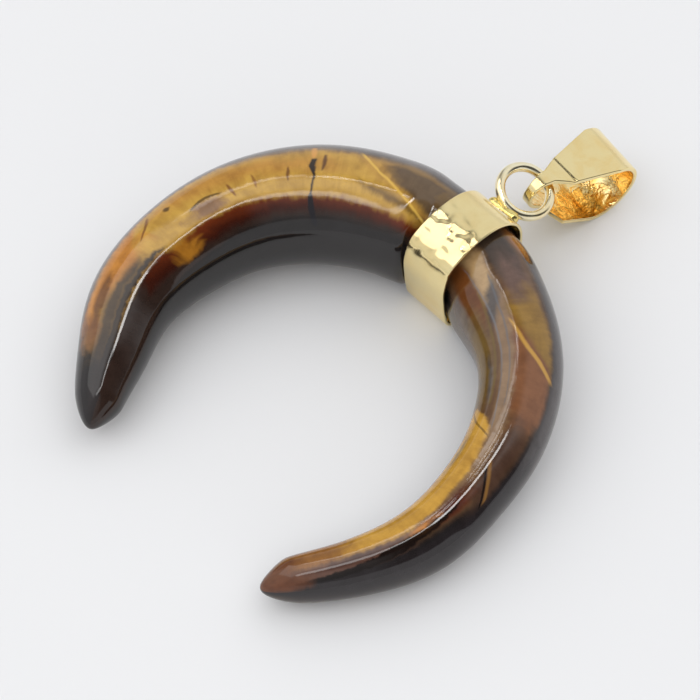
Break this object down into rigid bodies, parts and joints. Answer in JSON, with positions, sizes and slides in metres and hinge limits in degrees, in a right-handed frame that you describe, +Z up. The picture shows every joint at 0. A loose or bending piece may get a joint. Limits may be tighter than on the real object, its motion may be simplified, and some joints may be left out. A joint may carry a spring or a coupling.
{
  "type": "crescent stone pendant without chain",
  "caption": "Crescent pendant of banded stone with a thick and a thin horn, held at its middle by a metal band with a soldered ring and a tapered swinging bail.",
  "frame": {"origin": "middle of the footprint on the surface that the pendant lies on", "axes": "+Y from the crescent towards the bail, +X from the thick horn towards the thin horn, +Z up from the surface"},
  "size_m": [0.0432, 0.0548, 0.0108],
  "materials": {
    "banded_stone": "polished",
    "gold_plate": "polished"
  },
  "bodies": {
    "pendant": {"crescent": "banded_stone", "cap_band": "gold_plate"},
    "bail": {"bail": "gold_plate"}
  },
  "joints": [
    {"name": "bail_swing", "type": "hinge", "parent": "pendant", "child": "bail", "pos_m": [0.00177, 0.01807, 0.00644], "axis": [0.9805, -0.1505, -0.1267], "range_deg": [-50, 140]}
  ]
}
